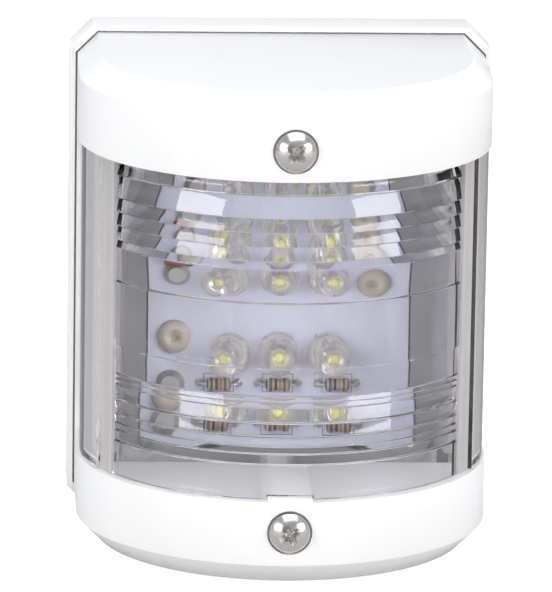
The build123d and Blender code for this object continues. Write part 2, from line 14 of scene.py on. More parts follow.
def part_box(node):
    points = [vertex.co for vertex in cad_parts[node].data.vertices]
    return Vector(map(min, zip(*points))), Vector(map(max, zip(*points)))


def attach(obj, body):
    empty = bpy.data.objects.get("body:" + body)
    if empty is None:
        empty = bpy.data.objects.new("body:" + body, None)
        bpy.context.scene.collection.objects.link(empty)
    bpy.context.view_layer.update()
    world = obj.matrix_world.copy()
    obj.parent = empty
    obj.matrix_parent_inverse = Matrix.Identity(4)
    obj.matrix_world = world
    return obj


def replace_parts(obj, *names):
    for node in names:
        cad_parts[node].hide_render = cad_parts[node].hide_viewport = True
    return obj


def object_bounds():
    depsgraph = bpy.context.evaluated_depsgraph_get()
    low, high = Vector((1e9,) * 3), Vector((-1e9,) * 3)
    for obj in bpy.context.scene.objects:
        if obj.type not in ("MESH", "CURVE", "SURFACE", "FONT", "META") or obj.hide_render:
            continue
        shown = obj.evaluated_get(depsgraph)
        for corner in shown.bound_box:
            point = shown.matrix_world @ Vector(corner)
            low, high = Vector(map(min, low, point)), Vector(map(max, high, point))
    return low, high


MM = 0.001
weld = 1e-4  # vertices that are closer than this (mm) become one

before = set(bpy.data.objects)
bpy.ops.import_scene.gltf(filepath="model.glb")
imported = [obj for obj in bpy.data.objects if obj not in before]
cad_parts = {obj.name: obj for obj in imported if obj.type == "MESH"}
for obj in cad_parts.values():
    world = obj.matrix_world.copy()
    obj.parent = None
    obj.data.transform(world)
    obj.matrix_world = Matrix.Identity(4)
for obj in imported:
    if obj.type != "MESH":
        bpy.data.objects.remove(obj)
cad_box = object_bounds()


def box_mm(node):
    """A CAD node's lowest and highest corners in millimetres."""
    low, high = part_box(node)
    return low / MM, high / MM


# ---------------------------------------------------------------- sizes read from the frame
cover_low, cover_high = box_mm("front_cover")
lens_low, lens_high = box_mm("lens")
board_low, board_high = box_mm("circuit_board")
strip_low, _ = box_mm("right_cutoff_strip")
top_screw_low, top_screw_high = box_mm("top_cover_screw")

bow_y = cover_low.y + cover_high.x  # the plan's semicircle is centred here
land_half = bow_y - lens_low.y  # lens face, in the window
panel_half = lens_high.x  # the plain panels at the lens's two sides
lens_top = lens_high.z
lens_back = lens_high.y
board_face = board_low.y
screw_height = (top_screw_low.z + top_screw_high.z) / 2
screw_head_radius = (top_screw_high.z - top_screw_low.z) / 2
screw_tip = top_screw_high.y
screw_top = top_screw_low.y


# ---------------------------------------------------------------- mesh helpers
def add_object(name, bm, body, material):
    """Makes a piece from a bmesh in millimetres; it rides on a body and wears a material."""
    bmesh.ops.scale(bm, vec=(MM, MM, MM), verts=bm.verts)
    bmesh.ops.recalc_face_normals(bm, faces=bm.faces)
    mesh = bpy.data.meshes.new(name)
    bm.to_mesh(mesh)
    bm.free()
    mesh.materials.append(material)
    piece = bpy.data.objects.new(name, mesh)
    bpy.context.scene.collection.objects.link(piece)
    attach(piece, body)
    return piece


def turned(profile, segments=48):
    """A bmesh turned about its Z axis from (radius, height) points; radius 0 closes an end."""
    bm = bmesh.new()
    rings = []
    for radius, height in profile:
        if radius == 0:
            rings.append([bm.verts.new((0, 0, height))])
            continue
        angles = [2 * pi * i / segments for i in range(segments)]
        rings.append([bm.verts.new((radius * cos(a), radius * sin(a), height)) for a in angles])
    for low, high in zip(rings, rings[1:]):
        for i in range(segments):
            j = (i + 1) % segments
            corners = [low[i % len(low)], low[j % len(low)], high[j % len(high)], high[i % len(high)]]
            bm.faces.new(list(dict.fromkeys(corners)))
    return bm


def arc_points(centre, radius, start, end, steps):
    """Points along an arc in a profile, from one angle to another in degrees."""
    angles = [radians(start + (end - start) * i / steps) for i in range(steps + 1)]
    return [(centre[0] + radius * cos(a), centre[1] + radius * sin(a)) for a in angles]


def shade(bm, angle=30.0):
    """Smooths every face, with edges that turn by more than the angle (in degrees) kept crisp."""
    for face in bm.faces:
        face.smooth = True
    for edge in bm.edges:
        turn = edge.calc_face_angle(0.0) if len(edge.link_faces) == 2 else 0.0
        edge.smooth = turn < radians(angle)


flat_angle = radians(0.2)  # CAD faces that meet flatter than this are merged
rounded_angle = radians(32)  # CAD edges that turn more than this are rounded
cad_weld = 1e-6  # in metres, as the CAD meshes are


def refined(node, body, material, bevel):
    """A CAD node's shape with its flat faces merged and its edges rounded, as moulding leaves them."""
    bm = bmesh.new()
    bm.from_mesh(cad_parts[node].data)
    bmesh.ops.remove_doubles(bm, verts=bm.verts, dist=cad_weld)
    bmesh.ops.dissolve_limit(bm, angle_limit=flat_angle, verts=bm.verts, edges=bm.edges, delimit=set())
    for edge in bm.edges:
        edge.smooth = True
    for face in bm.faces:
        face.smooth = True
    bmesh.ops.scale(bm, vec=(1 / MM, 1 / MM, 1 / MM), verts=bm.verts)
    piece = add_object(node + "_moulded", bm, body, material)
    rounding = piece.modifiers.new("rounding", "BEVEL")
    rounding.width = bevel * MM
    rounding.segments = 3
    rounding.limit_method = "ANGLE"
    rounding.angle_limit = rounded_angle
    rounding.harden_normals = True
    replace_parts(piece, node)


# ---------------------------------------------------------------- material helpers
class Shader:
    """A material with a Principled shader, and short ways to add the nodes that feed it."""

    def __init__(self, name, colour, roughness, **sockets):
        self.material = bpy.data.materials.new(name)
        self.material.use_nodes = True
        self.tree = self.material.node_tree
        self.principled = self.tree.nodes["Principled BSDF"]
        self.principled.inputs["Base Color"].default_value = (*colour, 1.0)
        self.principled.inputs["Roughness"].default_value = roughness
        for socket, value in sockets.items():
            self.principled.inputs[socket.replace("_", " ")].default_value = value
        self.place = self.node("ShaderNodeTexCoord").outputs["Object"]

    def node(self, kind, **values):
        """A new node; values go to its attributes or, where it has none by that name, its inputs."""
        made = self.tree.nodes.new(kind)
        for key, value in values.items():
            if hasattr(made, key):
                setattr(made, key, value)
            else:
                made.inputs[key.replace("_", " ")].default_value = value
        return made

    def link(self, source, target):
        self.tree.links.new(source, target)

    def noise(self, size, detail=4.0):
        """Noise whose grains are about size millimetres."""
        texture = self.node("ShaderNodeTexNoise", Scale=1 / (size * MM), Detail=detail)
        self.link(self.place, texture.inputs["Vector"])
        return texture.outputs["Fac"]

    def ramp(self, value, *stops, steps=False):
        """Colours along a value, from (position, colour) stops."""
        ramp = self.node("ShaderNodeValToRGB")
        ramp.color_ramp.interpolation = "CONSTANT" if steps else "LINEAR"
        elements = ramp.color_ramp.elements
        while len(elements) < len(stops):
            elements.new(0.5)
        for element, (position, colour) in zip(elements, stops):
            element.position = position
            element.color = (*colour, 1.0)
        self.link(value, ramp.inputs["Fac"])
        return ramp.outputs["Color"]

    def vary_roughness(self, value, low, high):
        spread = self.node("ShaderNodeMapRange", To_Min=low, To_Max=high)
        self.link(value, spread.inputs["Value"])
        self.link(spread.outputs["Result"], self.principled.inputs["Roughness"])

    def bump(self, value, height, strength=1.0):
        """Relief of so many millimetres."""
        bump = self.node("ShaderNodeBump", Strength=strength, Distance=height * MM)
        self.link(value, bump.inputs["Height"])
        self.link(bump.outputs["Normal"], self.principled.inputs["Normal"])

    def colour(self, output):
        self.link(output, self.principled.inputs["Base Color"])

    def clear_to_lamps(self, tint):
        """Lets lamp light straight through, as thin clear plastic does."""
        through = self.node("ShaderNodeBsdfTransparent", Color=(*tint, 1.0))
        mix = self.node("ShaderNodeMixShader")
        path = self.node("ShaderNodeLightPath")
        self.link(path.outputs["Is Shadow Ray"], mix.inputs[0])
        self.link(self.principled.outputs["BSDF"], mix.inputs[1])
        self.link(through.outputs["BSDF"], mix.inputs[2])
        self.link(mix.outputs["Shader"], self.tree.nodes["Material Output"].inputs["Surface"])


def scaled(colour, factor):
    return tuple(min(1.0, channel * factor) for channel in colour)


def moulded_plastic(name, colour, roughness, grain, relief, spread=0.03, **sockets):
    """Plastic or rubber with fine grain (size and relief in mm), faint colour drift and uneven gloss."""
    shader = Shader(name, colour, roughness, **sockets)
    drift = shader.noise(9.0, 2.0)
    shader.colour(shader.ramp(drift, (0.3, scaled(colour, 1 - spread)), (0.7, scaled(colour, 1 + spread))))
    fine = shader.noise(grain)
    shader.vary_roughness(fine, roughness * 0.85, min(1.0, roughness * 1.15))
    shader.bump(fine, relief)
    return shader.material


def metal(name, colour, roughness, grain, relief):
    """Bright metal with a fine grain and darker patches; grain and relief are in mm."""
    shader = Shader(name, colour, roughness, Metallic=1.0)
    patches = shader.noise(grain * 4, 3.0)
    shader.colour(shader.ramp(patches, (0.3, scaled(colour, 0.88)), (0.7, colour)))
    fine = shader.noise(grain)
    shader.vary_roughness(fine, roughness * 0.7, roughness * 1.4)
    shader.bump(fine, relief)
    return shader.material


def clear_plastic(name, colour, roughness, ior, tint, ripple, clarity=1.0):
    """Clear plastic with a faint moulding ripple; tint is the share of lamp light that it lets through."""
    shader = Shader(name, colour, roughness, IOR=ior, Transmission_Weight=clarity)
    wave = shader.noise(7.0, 1.0)
    shader.colour(shader.ramp(wave, (0.3, scaled(colour, 0.985)), (0.7, colour)))
    shader.vary_roughness(wave, roughness * 0.5, roughness * 1.5)
    shader.bump(wave, ripple)
    shader.clear_to_lamps(tint)
    return shader.material


def frosted_plastic(name, colour=(0.74, 0.71, 0.71)):
    """Clear strip with fine upright grooves that scatter the light."""
    shader = Shader(name, colour, 0.42, IOR=1.49, Transmission_Weight=0.55)
    grooves = shader.node("ShaderNodeTexWave", bands_direction="X", Scale=180.0, Distortion=0.6)
    shader.link(shader.place, grooves.inputs["Vector"])
    shader.colour(shader.ramp(grooves.outputs["Fac"], (0.2, scaled(colour, 0.9)), (0.8, colour)))
    shader.vary_roughness(shader.noise(0.4), 0.32, 0.55)
    shader.bump(grooves.outputs["Fac"], 0.08)
    shader.clear_to_lamps((0.7, 0.7, 0.7))
    return shader.material


def solder_mask(name, colour=(0.76, 0.77, 0.91)):
    """White board lacquer over faint raised copper tracks; its bluish tint is painted light, the cast of the
    bluish light on the board.
    """
    shader = Shader(name, colour, 0.35, Coat_Weight=0.3, Coat_Roughness=0.15)
    tracks = shader.node("ShaderNodeTexBrick", Scale=110.0, Mortar_Size=0.035, offset=0.35)
    shader.link(shader.place, tracks.inputs["Vector"])
    cloud = shader.noise(6.0, 3.0)
    shader.colour(shader.ramp(cloud, (0.25, scaled(colour, 0.965)), (0.75, scaled(colour, 1.02))))
    shader.bump(tracks.outputs["Fac"], 0.03, 0.4)
    return shader.material


def banded_resistor(name):
    """Tan resistor paint with colour rings round the body."""
    shader = Shader(name, (0.45, 0.33, 0.2), 0.38, Coat_Weight=0.4, Coat_Roughness=0.2)
    along = shader.node("ShaderNodeSeparateXYZ")
    coordinates = shader.node("ShaderNodeTexCoord").outputs["Generated"]
    shader.link(coordinates, along.inputs[0])
    tan_paint, brown, black = (0.42, 0.36, 0.30), (0.13, 0.08, 0.06), (0.03, 0.025, 0.025)
    orange, gold = (0.40, 0.20, 0.12), (0.38, 0.31, 0.16)
    rings = shader.ramp(
        along.outputs["X"],
        (0.0, black), (0.05, tan_paint), (0.13, brown), (0.26, tan_paint), (0.34, black), (0.46, tan_paint),
        (0.52, orange), (0.64, tan_paint), (0.71, brown), (0.81, tan_paint), (0.86, gold),
        (0.94, black), steps=True,
    )
    shader.colour(rings)
    shader.bump(shader.noise(0.5), 0.02)
    return shader.material


abs_white = moulded_plastic("abs_white", (0.86, 0.86, 0.855), 0.3, grain=0.5, relief=0.004, spread=0.006)
lens_clear = clear_plastic(
    "lens_clear", (0.985, 0.98, 0.99), 0.012, ior=1.49, tint=(0.735, 0.735, 0.755), ripple=0.004
)
strip_frosted = frosted_plastic("strip_frosted")
rubber_grey = moulded_plastic(
    "rubber_grey", (0.19, 0.185, 0.175), 0.62, grain=0.25, relief=0.012, spread=0.12
)
board_mask = solder_mask("board_mask")
epoxy_clear = clear_plastic(
    "epoxy_clear", (0.99, 0.96, 0.92), 0.04, ior=1.53, tint=(0.92, 0.90, 0.87), ripple=0.01, clarity=0.75
)
phosphor_yellow = moulded_plastic(
    "phosphor_yellow", (0.92, 0.92, 0.03), 0.6, grain=0.1, relief=0.01, spread=0.08
)
tin_bright = metal("tin_bright", (0.80, 0.79, 0.77), 0.28, grain=0.2, relief=0.004)
solder_grey = metal("solder_grey", (0.62, 0.61, 0.60), 0.42, grain=0.3, relief=0.012)
brass_plated = metal("brass_plated", (0.80, 0.62, 0.33), 0.3, grain=0.2, relief=0.004)
stainless = metal("stainless", (0.72, 0.69, 0.67), 0.2, grain=0.12, relief=0.003)
# Sector screens: matt dark plastic, made darker still as painted shade for the dim sides inside the lamp.
screen_grey = moulded_plastic(
    "screen_grey", (0.30, 0.29, 0.305), 0.5, grain=0.4, relief=0.006, spread=0.08
)
resistor_paint = banded_resistor("resistor_paint")
nylon_beige = moulded_plastic(
    "nylon_beige", (0.66, 0.56, 0.47), 0.4, grain=0.3, relief=0.01, spread=0.05, Subsurface_Weight=0.1
)
nylon_natural = moulded_plastic("nylon_natural", (0.78, 0.76, 0.70), 0.42, grain=0.3, relief=0.01)
pvc_red = moulded_plastic("pvc_red", (0.40, 0.03, 0.035), 0.35, grain=0.3, relief=0.006, spread=0.06)
pvc_black = moulded_plastic("pvc_black", (0.018, 0.018, 0.02), 0.38, grain=0.3, relief=0.006, spread=0.1)
board_ink = moulded_plastic("board_ink", (0.20, 0.20, 0.26), 0.55, grain=0.1, relief=0.004, spread=0.1)


# ---------------------------------------------------------------- Fresnel lens
lens_rim_step = 0.7  # the face stands this far proud of the rim
lens_rim = land_half - lens_rim_step
lens_wall = 2.0
face_top = lens_top - 1.4  # the rim shows above and below the face
face_corner_radius = 4.8
face_back = -12.2
rim_middle = -9.0
panel_middle = -22.0
optic_height = 0.8  # the ribs' centre
groove_half_angle = 58.0
edge_round = 0.16  # moulding rounds the ribs' edges
section_step = 2.0  # degrees between the lens's sections
# Each rib above the optic's centre: where it starts and ends, how deep its lower edge lies, and how
# many degrees its surface tips at its lower and upper edge. The lower ribs are measured downwards.
ribs = [
    (5.5, 11.1, 0.30, 2.5, -1.2),
    (11.1, 12.4, 0.10, 24.0, 30.0),
    (12.4, 14.8, 0.20, 10.0, 22.0),
    (14.8, 17.1, 0.15, 15.0, 25.0),
    (17.1, 19.5, 0.15, 14.0, 27.0),
    (19.5, 23.3, 0.15, 9.5, 22.0),
    (23.3, 25.6, 0.15, 32.0, 35.0),
]
lower_ribs = [
    (5.5, 10.2, 0.30, 1.1, 0.2),
    (10.2, 11.1, 0.10, 20.0, 30.0),
    (11.1, 12.1, 0.10, 24.0, 30.0),
    (12.1, 14.7, 0.15, 23.0, 25.0),
    (14.7, 17.1, 0.15, 16.0, 18.0),
    (17.1, 18.6, 0.15, 15.0, 17.0),
    (18.6, 19.8, 0.15, 15.0, 17.0),
    (19.8, 21.6, 0.10, 5.0, 10.0),
]


def rib_surface(low, high, depth, low_tip, high_tip, steps=4):
    """Points (height, depth) up one rib, whose tip angle changes evenly."""
    points = [(low, depth)]
    rise = (high - low) / steps
    for i in range(steps):
        tip = low_tip + (high_tip - low_tip) * (i + 0.5) / steps
        depth += rise * tan(radians(tip))
        points.append((low + rise * (i + 1), depth))
    return points


def rounded(outline):
    """A (height, depth, corner) outline, with an arc at each corner; True marks the arcs' ends."""
    points = [(*outline[0][:2], True)]
    for before, (z, depth, corner), after in zip(outline, outline[1:], outline[2:]):
        if not corner:
            points.append((z, depth, False))
            continue
        here = Vector((z, depth))
        arms = [Vector(other[:2]) - here for other in (before, after)]
        reach = [min(edge_round, arm.length * 0.45) for arm in arms]
        first, last = [here + arm.normalized() * length for arm, length in zip(arms, reach)]
        for t in (0.0, 0.25, 0.5, 0.75, 1.0):
            spot = first * (1 - t) ** 2 + here * 2 * t * (1 - t) + last * t**2
            points.append((spot.x, spot.y, t in (0.0, 1.0)))
    points.append((*outline[-1][:2], True))
    return points


def face_profile():
    """The lens face from its lower to its upper edge: (height, depth, crisp) points."""
    upper, lower = [], []
    for chosen, side in ((ribs, upper), (lower_ribs, lower)):
        side.append((chosen[0][0], 0.0, True))
        for rib in chosen:
            surface = rib_surface(*rib)
            side += [(z, depth, i in (0, len(surface) - 1)) for i, (z, depth) in enumerate(surface)]
        side.append((chosen[-1][1], 0.0, True))
    below = [(optic_height - z, depth, corner) for z, depth, corner in reversed(lower)]
    above = [(optic_height + z, depth, corner) for z, depth, corner in upper]
    return rounded([(-face_top, 0.0, True)] + below + above + [(face_top, 0.0, True)])


def plan_point(station, half, z):
    centre_y, angle = station
    return (half * sin(radians(angle)), centre_y - half * cos(radians(angle)), z)


def face_limit(station):
    """How high the lens face reaches at a station: it has rounded corners at the rear."""
    y = station[0]
    corner = face_back - face_corner_radius
    if y <= corner:
        return face_top
    if y > face_back:
        return 0.0
    return face_top - face_corner_radius + sqrt(max(0.0, face_corner_radius**2 - (y - corner) ** 2))


seat_depth = 0.7  # the cut-off strips lie in a seat in the face
seat_margin = 0.1  # degrees
seat_width = 7.0  # degrees
strip_first = degrees(asin(strip_low.x / (land_half - seat_depth))) - seat_margin
strip_last = strip_first + seat_width
notch_low = -25.8  # the notch clears the key on the cover's lower sill
notch_angle = 6.9
face_halves = {"rim": lens_rim, "seat": land_half - seat_depth, "panel": panel_half}


def lens_loop(station, kind):
    """One closed section of the lens: the face and rim outside, then the smooth inside."""
    limit = face_limit(station)
    bottom = -limit if kind != "notch" else notch_low
    loop = [(-lens_top, lens_rim, True), (-face_top, lens_rim, True)]
    for z, depth, crisp in face_profile():
        half = face_halves.get(kind, land_half - depth)
        loop.append((max(bottom, min(limit, z)) if kind != "rim" else z, half, crisp))
    loop += [(face_top, lens_rim, True), (lens_top, lens_rim, True)]
    inner = lens_rim - lens_wall
    loop += [(lens_top, inner, True), (-lens_top, inner, True)]
    return loop


def side_sections():
    """The straight side's stations from the rear to the bow's start, as (y, kind) pairs."""
    corner_steps = 8
    corner = face_back - face_corner_radius
    turns = [radians(90 * i / corner_steps) for i in range(corner_steps + 1)]
    curve = [corner + face_corner_radius * cos(turn) for turn in turns]
    rim = [(y, "rim") for y in (lens_back, rim_middle, face_back)]
    return rim + [(y, "panel") for y in curve + [panel_middle, bow_y]]


def bow_sections():
    """The bow's stations from left to right, as (angle, kind) pairs; a repeated angle makes a wall."""
    half = [(notch_angle, "notch"), (notch_angle, "ribs")]
    angle = notch_angle + section_step
    while angle < groove_half_angle - section_step / 2:
        half.append((angle, "ribs"))
        angle += section_step
    half += [(groove_half_angle, "ribs"), (groove_half_angle, "plain")]
    half += [(strip_first, "plain"), (strip_first, "seat")]
    half += [(strip_last, "seat"), (strip_last, "panel")]
    behind_strip = int((90 - strip_last) / section_step)
    half += [(strip_last + section_step * i, "panel") for i in range(1, behind_strip + 1)]
    middle = [(notch_angle * i / 3, "notch") for i in (-2, -1, 0, 1, 2)]
    return [(-turn, kind) for turn, kind in reversed(half)] + middle + half


def crisp_lens_edges(bm, loops, sections):
    """Marks the edges that stay crisp: along the profile's corners, beside walls and at both ends."""
    last = len(loops) - 1
    for i, loop in enumerate(loops):
        neighbours = [n for n in (i - 1, i + 1) if 0 <= n <= last]
        beside_wall = any(sections[n][0] == sections[i][0] for n in neighbours)
        for j, (vertex, crisp) in enumerate(loop):
            if i < last:
                bm.edges.get((vertex, loops[i + 1][j][0])).smooth = not crisp
            across = bm.edges.get((vertex, loop[(j + 1) % len(loop)][0]))
            across.smooth = not (beside_wall or i in (0, last))


def make_lens():
    """The clear lens as one swept solid."""
    sides = side_sections()
    sections = [((y, -90.0), kind) for y, kind in sides]
    sections += [((bow_y, angle), kind) for angle, kind in bow_sections()]
    sections += [((y, 90.0), kind) for y, kind in reversed(sides)]
    bm = bmesh.new()
    loops = []
    for station, kind in sections:
        section = lens_loop(station, kind)
        loops.append([(bm.verts.new(plan_point(station, half, z)), crisp) for z, half, crisp in section])
    for i in range(len(loops) - 1):
        wall = sections[i][0] == sections[i + 1][0]
        near, far = loops[i], loops[i + 1]
        for j in range(len(near)):
            k = (j + 1) % len(near)
            face = bm.faces.new((near[j][0], far[j][0], far[k][0], near[k][0]))
            face.smooth = not wall
    for loop in (loops[0], loops[-1]):
        bm.faces.new([vertex for vertex, _ in loop])
    crisp_lens_edges(bm, loops, sections)
    bmesh.ops.remove_doubles(bm, verts=bm.verts, dist=weld)
    bmesh.ops.dissolve_degenerate(bm, dist=weld, edges=bm.edges)
    piece = add_object("fresnel_lens", bm, "cover", lens_clear)
    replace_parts(piece, "lens")


make_lens()


# ---------------------------------------------------------------- LEDs
led_columns = (-8.2, 0.0, 8.2)
led_rows = (0.3, -12.8)
led_leans = ((-31.0, 0.0, 10.0), (-16.0, 0.0, 13.0))  # degrees sideways, upper row first
led_flange_radius = 3.5
led_flange_height = 1.5
led_flange_round = 0.25
led_neck_radius = led_flange_radius - 0.75
led_neck_fillet = 0.3
led_dome_radius = 2.6
led_dome_base = 5.8
led_pin_pitch = 2.54
led_pin_half = 0.25
led_pin_tail = 1.2  # how far a pin shows behind the board
led_lift = 0.02  # the flange stands this clear of the board
frame_low = 2.4  # the lead frame's feet, above the flange's underside
anvil_height = 4.3
post_height = 4.6
post_half = 0.45
stem_low, stem_high = 4.1, 4.9
anvil_half = 0.55
cup_floor, cup_rim = 5.0, 5.5
cup_radius = 1.0
cup_lip = 0.12
chip_radius = 0.44
chip_outline = ((chip_radius, 0.0), (0.42, 0.16), (0.28, 0.27), (0.0, 0.3))  # above the cup's floor


def tilted(x, z, lean):
    """The frame under an LED's flange, in millimetres: its Z axis points out of the board."""
    raised = led_flange_radius * sin(radians(abs(lean))) + led_lift
    across = Vector((cos(radians(lean)), sin(radians(lean)), 0))
    out = Vector((sin(radians(lean)), -cos(radians(lean)), 0))
    up = out.cross(across)
    turn = Matrix((across, up, out)).transposed().to_4x4()
    return Matrix.Translation((x, board_face - raised, z)) @ turn


def add_bar(bm, low, high, matrix=Matrix()):
    """A box between two corners, added to a bmesh."""
    middle = (Vector(low) + Vector(high)) / 2
    size = Vector(high) - Vector(low)
    place = matrix @ Matrix.Translation(middle) @ Matrix.Diagonal((*size, 1.0))
    bmesh.ops.create_cube(bm, size=1.0, matrix=place)


def merge(target, source, matrix):
    """Moves a bmesh into another one."""
    source.transform(matrix)
    mesh = bpy.data.meshes.new("part")
    source.to_mesh(mesh)
    source.free()
    target.from_mesh(mesh)
    bpy.data.meshes.remove(mesh)


def led_body():
    """The epoxy body: flat base, flange with a rounded edge, tapered neck and dome."""
    bevel = 0.15
    profile = [(0, 0), (led_flange_radius - bevel, 0), (led_flange_radius, bevel)]
    flange_centre = (led_flange_radius - led_flange_round, led_flange_height - led_flange_round)
    profile += arc_points(flange_centre, led_flange_round, 0, 90, 4)
    fillet_centre = (led_neck_radius + led_neck_fillet, led_flange_height + led_neck_fillet)
    profile += arc_points(fillet_centre, led_neck_fillet, -90, -180, 4)
    profile += arc_points((0, led_dome_base), led_dome_radius, 0, 86, 14)
    profile.append((0, led_dome_base + led_dome_radius))
    bm = turned(profile)
    shade(bm, 40)
    return bm


def lead_frame():
    """The anvil, the post and the cup that holds the chip, inside the epoxy."""
    stem = [(0, stem_low), (post_half, stem_low), (anvil_half, stem_high)]
    cup = [(cup_radius, cup_rim), (cup_radius - cup_lip, cup_rim), (0.5, cup_floor), (0, cup_floor)]
    bm = turned(stem + cup, 24)
    half_pitch = led_pin_pitch / 2
    add_bar(bm, (-anvil_half, -half_pitch - 0.35, frame_low), (anvil_half, 0.35, anvil_height))
    add_bar(bm, (-post_half, half_pitch - 0.5, frame_low), (post_half, half_pitch + 0.35, post_height))
    shade(bm, 30)
    return bm


def led_chip():
    """The phosphor blob on the cup's floor."""
    bm = turned([(0, cup_floor)] + [(radius, cup_floor + height) for radius, height in chip_outline], 24)
    shade(bm, 40)
    return bm


def make_leds():
    bodies, frames, chips = bmesh.new(), bmesh.new(), bmesh.new()
    for z, leans in zip(led_rows, led_leans):
        for x, lean in zip(led_columns, leans):
            place = tilted(x, z, lean)
            merge(bodies, led_body(), place)
            merge(frames, lead_frame(), place)
            merge(chips, led_chip(), place)
            for way in (-1, 1):
                foot = place @ Vector((0, way * led_pin_pitch / 2, frame_low))
                pin_z = z + way * led_pin_pitch / 2
                low = (x - led_pin_half, foot.y, pin_z - led_pin_half)
                high = (x + led_pin_half, board_high.y + led_pin_tail, pin_z + led_pin_half)
                add_bar(frames, low, high)
    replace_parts(add_object("led_bodies", bodies, "base", epoxy_clear), "led_lenses")
    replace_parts(add_object("led_frames", frames, "base", tin_bright), "led_lead_frames")
    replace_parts(add_object("led_phosphor", chips, "base", phosphor_yellow), "led_chips")


make_leds()


# ---------------------------------------------------------------- resistors
resistor_columns = (-10.2, 0.0, 10.2)
resistor_row = -18.1
resistor_radius = 1.25
resistor_length = 4.1
resistor_pitch = 6.6
resistor_lift = resistor_radius + 0.1
resistor_cap = 0.95  # the end caps bulge this far in from each end
resistor_waist = 0.14  # the middle is this much thinner than the caps


def make_resistors():
    end = resistor_length / 2
    cap_round = 0.45
    half_outline = [(0, end), (0.55, end), (0.95, end - 0.08)]
    half_outline += arc_points((resistor_radius - cap_round, end - 0.5), cap_round, 60, 0, 4)
    half_outline.append((resistor_radius, end - resistor_cap))
    half_outline.append((resistor_radius - resistor_waist, end - resistor_cap - 0.3))
    outline = half_outline + [(radius, -height) for radius, height in reversed(half_outline)]
    sideways = Matrix.Rotation(radians(90), 4, "Y")
    for number, x in enumerate(resistor_columns, 1):
        bm = turned(outline, 32)
        shade(bm, 40)
        bm.transform(sideways)
        piece = add_object(f"resistor_{number}", bm, "base", resistor_paint)
        piece.location = Vector((x, board_face - resistor_lift, resistor_row)) * MM
        if number == 1:
            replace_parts(piece, "resistor_bodies")


make_resistors()


# ---------------------------------------------------------------- board pads and print
pad_inner = 0.42
pad_outer = 0.95
pad_height = 0.05
joint_outline = ((pad_outer - 0.1, 0.04), (0.55, 0.22), (0.34, 0.62), (0, 0.66))  # solder round a pin
print_half_width = 2.6
print_half_height = 1.7
print_line = 0.12
print_height = 0.02


def ring(inner, outer, height, segments=32):
    """A flat ring standing on Z = 0."""
    bm = turned([(inner, 0), (outer, 0), (outer, height), (inner, height), (inner, 0)], segments)
    bmesh.ops.remove_doubles(bm, verts=bm.verts, dist=weld)
    return bm


def on_board(x, z):
    """The frame on the board's face at x, z: its Z axis points out of the board."""
    return Matrix.Translation((x, board_face, z)) @ Matrix.Rotation(radians(90), 4, "X")


def make_board_details():
    """Solder pads under every pin, and a printed box round each resistor."""
    pads, ink = bmesh.new(), bmesh.new()
    spots = [(x, z + way * led_pin_pitch / 2) for z in led_rows for x in led_columns for way in (-1, 1)]
    spots += [(x + way * resistor_pitch / 2, resistor_row) for x in resistor_columns for way in (-1, 1)]
    for spot in spots:
        merge(pads, ring(pad_inner, pad_outer, pad_height), on_board(*spot))
        joint = turned(joint_outline, 24)
        shade(joint, 40)
        merge(pads, joint, on_board(*spot))
    ink_face, half_line = board_face - print_height, print_line / 2
    low, high = resistor_row - print_half_height, resistor_row + print_half_height
    for x in resistor_columns:
        left, right = x - print_half_width, x + print_half_width
        for edge, side in ((low, left), (high, right)):
            add_bar(ink, (left, ink_face, edge - half_line), (right, board_face, edge + half_line))
            add_bar(ink, (side - half_line, ink_face, low), (side + half_line, board_face, high))
    add_object("board_pads", pads, "base", tin_bright)
    add_object("board_print", ink, "base", board_ink)


make_board_details()


# ---------------------------------------------------------------- cover screws
head_height = 2.3
head_edge = 0.7
shaft_radius = 1.7
head_shoulder = 0.2  # how high the head is at its full width
thread_pitch = 1.3
thread_depth = 0.38
thread_start = -1.5  # the shaft is plain above this
thread_half_width = 0.32  # as a share of the pitch
screw_point = 3.0
blunt_end = 0.03  # the radius at the very tip
# The cross recess: (height above the head's top, reach of a wing, half width of a wing).
recess_levels = ((0.6, 2.5, 0.62), (-1.9, 0.75, 0.34), (-2.2, 0.02, 0.01))
recess_blend = 1.25  # how full the corners between the wings are
screw_turns = {"top_cover_screw": (1, 45.0), "bottom_cover_screw": (-1, 30.0)}  # side, degrees


def cross_cutter():
    """A tapered four-wing bit, point down, for the screw's recess."""
    bm = bmesh.new()
    rings = []
    for height, wing, half in recess_levels:
        corners = []
        blend = half * recess_blend
        for quarter in range(4):
            turn = Matrix.Rotation(quarter * pi / 2, 3, "Z")
            for x, y in ((wing, -half), (wing, half), (blend, blend)):
                corners.append(bm.verts.new((turn @ Vector((x, y, 0))) + Vector((0, 0, height))))
        rings.append(corners)
    for low, high in zip(rings, rings[1:]):
        for i in range(len(low)):
            j = (i + 1) % len(low)
            bm.faces.new((low[i], low[j], high[j], high[i]))
    bm.faces.new(rings[0])
    bm.faces.new(rings[-1])
    bmesh.ops.recalc_face_normals(bm, faces=bm.faces)
    return bm


def mesh_from(bm, name):
    """A plain object that holds a bmesh while a modifier works on it."""
    mesh = bpy.data.meshes.new(name)
    bm.to_mesh(mesh)
    bm.free()
    made = bpy.data.objects.new(name, mesh)
    bpy.context.scene.collection.objects.link(made)
    return made


